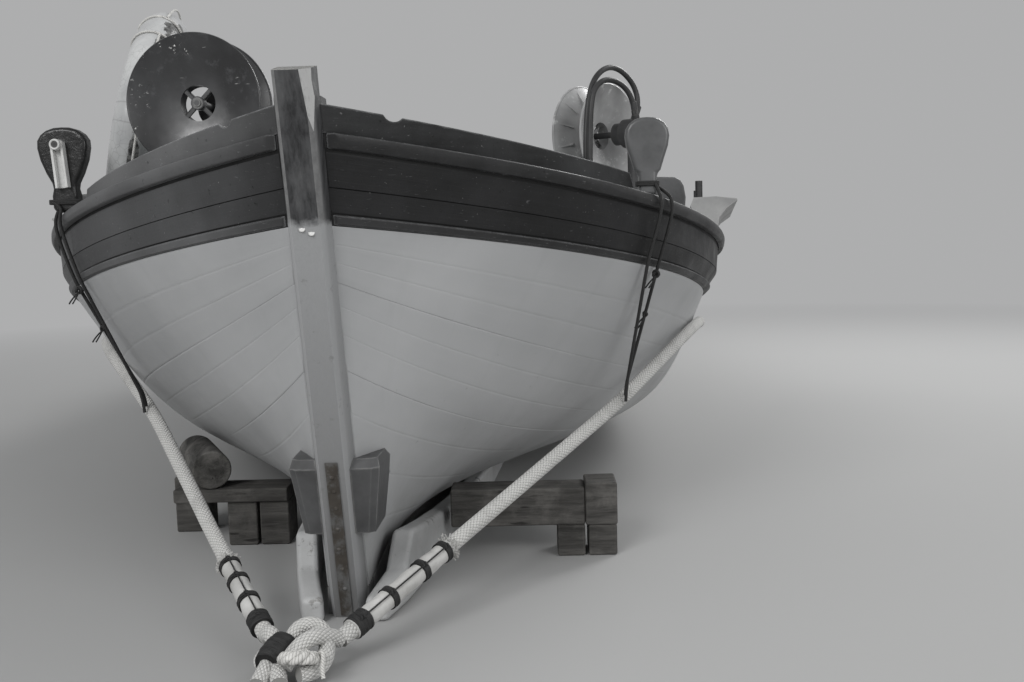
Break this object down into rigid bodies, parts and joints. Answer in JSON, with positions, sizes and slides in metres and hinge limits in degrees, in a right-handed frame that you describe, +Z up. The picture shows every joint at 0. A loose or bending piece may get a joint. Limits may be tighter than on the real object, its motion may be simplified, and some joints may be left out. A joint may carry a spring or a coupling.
{
  "type": "rowing boat",
  "caption": "Open wooden rowing boat for beach launching, with rope hauling wheels, rail posts, hauling bridle and lifebuoy.",
  "frame": {"origin": "on the ground under the foot of the stem, on the boat's centre line", "axes": "+Y from bow to stern, +X to port, +Z up"},
  "size_m": [2.5514, 6.6875, 1.6867],
  "materials": {
    "dark_paint": "worn dark grey-blue gloss paint on timber",
    "pale_paint": "weathered off-white paint on timber",
    "bare_wood": "weathered softwood",
    "deck_paint": "faded grey deck paint on timber",
    "iron": "rusty galvanised iron",
    "wheel_metal": "chipped paint over rusty iron",
    "rope": "thick pale braided rope",
    "twine": "black tarred twine",
    "buoy_cover": "faded painted canvas with peeling patches",
    "hose": "black hydraulic hose"
  },
  "bodies": {
    "boat": {"bilge_log": "bare_wood", "bilge_planking_port": "pale_paint", "bilge_planking_starboard": "pale_paint", "bottom_planking_port": "pale_paint", "bottom_planking_starboard": "pale_paint", "bridle_knot": "rope", "bridle_seizings": "twine", "bridle_splices": "rope", "bulwarks": "dark_paint", "cheek_blocks": "dark_paint", "floorboards": "bare_wood", "fore_bulkhead": "deck_paint", "foredeck": "deck_paint", "frames": "deck_paint", "hauler_stand_port": "wheel_metal", "hauler_stand_starboard": "wheel_metal", "hauling_bridle": "rope", "horn_posts": "deck_paint", "horn_strap": "iron", "hoses": "hose", "inner_stem": "deck_paint", "inwales": "deck_paint", "keel": "pale_paint", "keelson": "deck_paint", "lashings": "twine", "lifebuoy": "buoy_cover", "lower_mouldings": "dark_paint", "rail_blocks": "deck_paint", "risings": "deck_paint", "rowlock_chocks": "deck_paint", "rubbing_rails": "dark_paint", "second_strake_port": "dark_paint", "second_strake_starboard": "dark_paint", "sheer_strake_port": "dark_paint", "sheer_strake_starboard": "dark_paint", "skid_runners": "bare_wood", "stem_iron_band": "iron", "stem_post": "dark_paint", "stern_post": "pale_paint", "thole_pins": "bare_wood", "thwarts": "bare_wood", "timber_blocks": "bare_wood", "topside_planking_port": "pale_paint", "topside_planking_starboard": "pale_paint", "transom": "pale_paint"},
    "wheel_port": {"hauler_wheel_port": "wheel_metal"},
    "wheel_starboard": {"hauler_wheel_starboard": "wheel_metal"}
  },
  "joints": [
    {"name": "hauler_spin_starboard", "type": "hinge", "parent": "boat", "child": "wheel_starboard", "pos_m": [-0.435, 0.408, 1.342], "axis": [0.0349, 0.9994, 0], "continuous": true},
    {"name": "hauler_spin_port", "type": "hinge", "parent": "boat", "child": "wheel_port", "pos_m": [0.742, 1.43, 1.3], "axis": [0.788, -0.6157, 0], "continuous": true}
  ]
}
